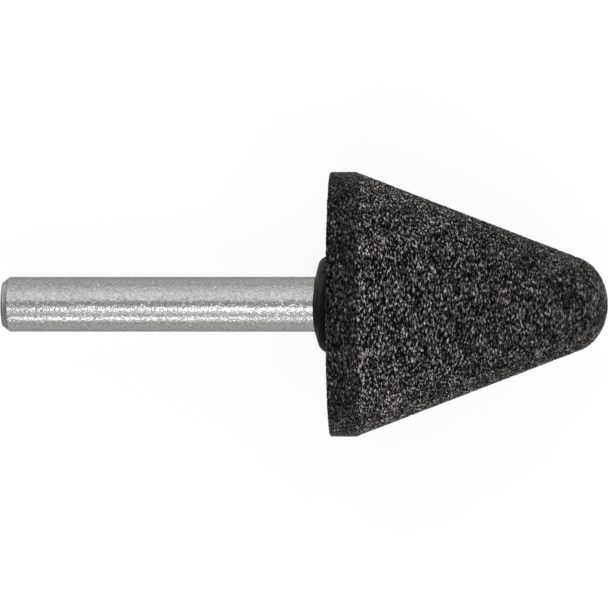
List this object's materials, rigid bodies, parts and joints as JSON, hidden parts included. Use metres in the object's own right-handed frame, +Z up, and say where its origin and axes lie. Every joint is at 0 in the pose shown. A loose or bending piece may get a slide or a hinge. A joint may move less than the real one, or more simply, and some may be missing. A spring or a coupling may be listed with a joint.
{
  "type": "mounted point",
  "caption": "Mounted point: a dark rounded-nose cone of bonded abrasive grain, cemented onto a plain round steel shank that a grinder's collet grips.",
  "frame": {"origin": "on the tool's axis, where the bare shank meets the collar of cement", "axes": "+X along the tool's axis from the shank to the nose, +Z up; the tool is level, as it is held in a collet"},
  "size_m": [0.0696, 0.0304, 0.0304],
  "materials": {
    "steel": "ground, satin, with fine lengthwise marks",
    "cement": "smooth cured cement, satin",
    "abrasive": "coarse open grain, matt, with grey flecks"
  },
  "bodies": {
    "root": {"shank": "steel", "cement_collar": "cement", "abrasive_head": "abrasive"}
  },
  "joints": []
}
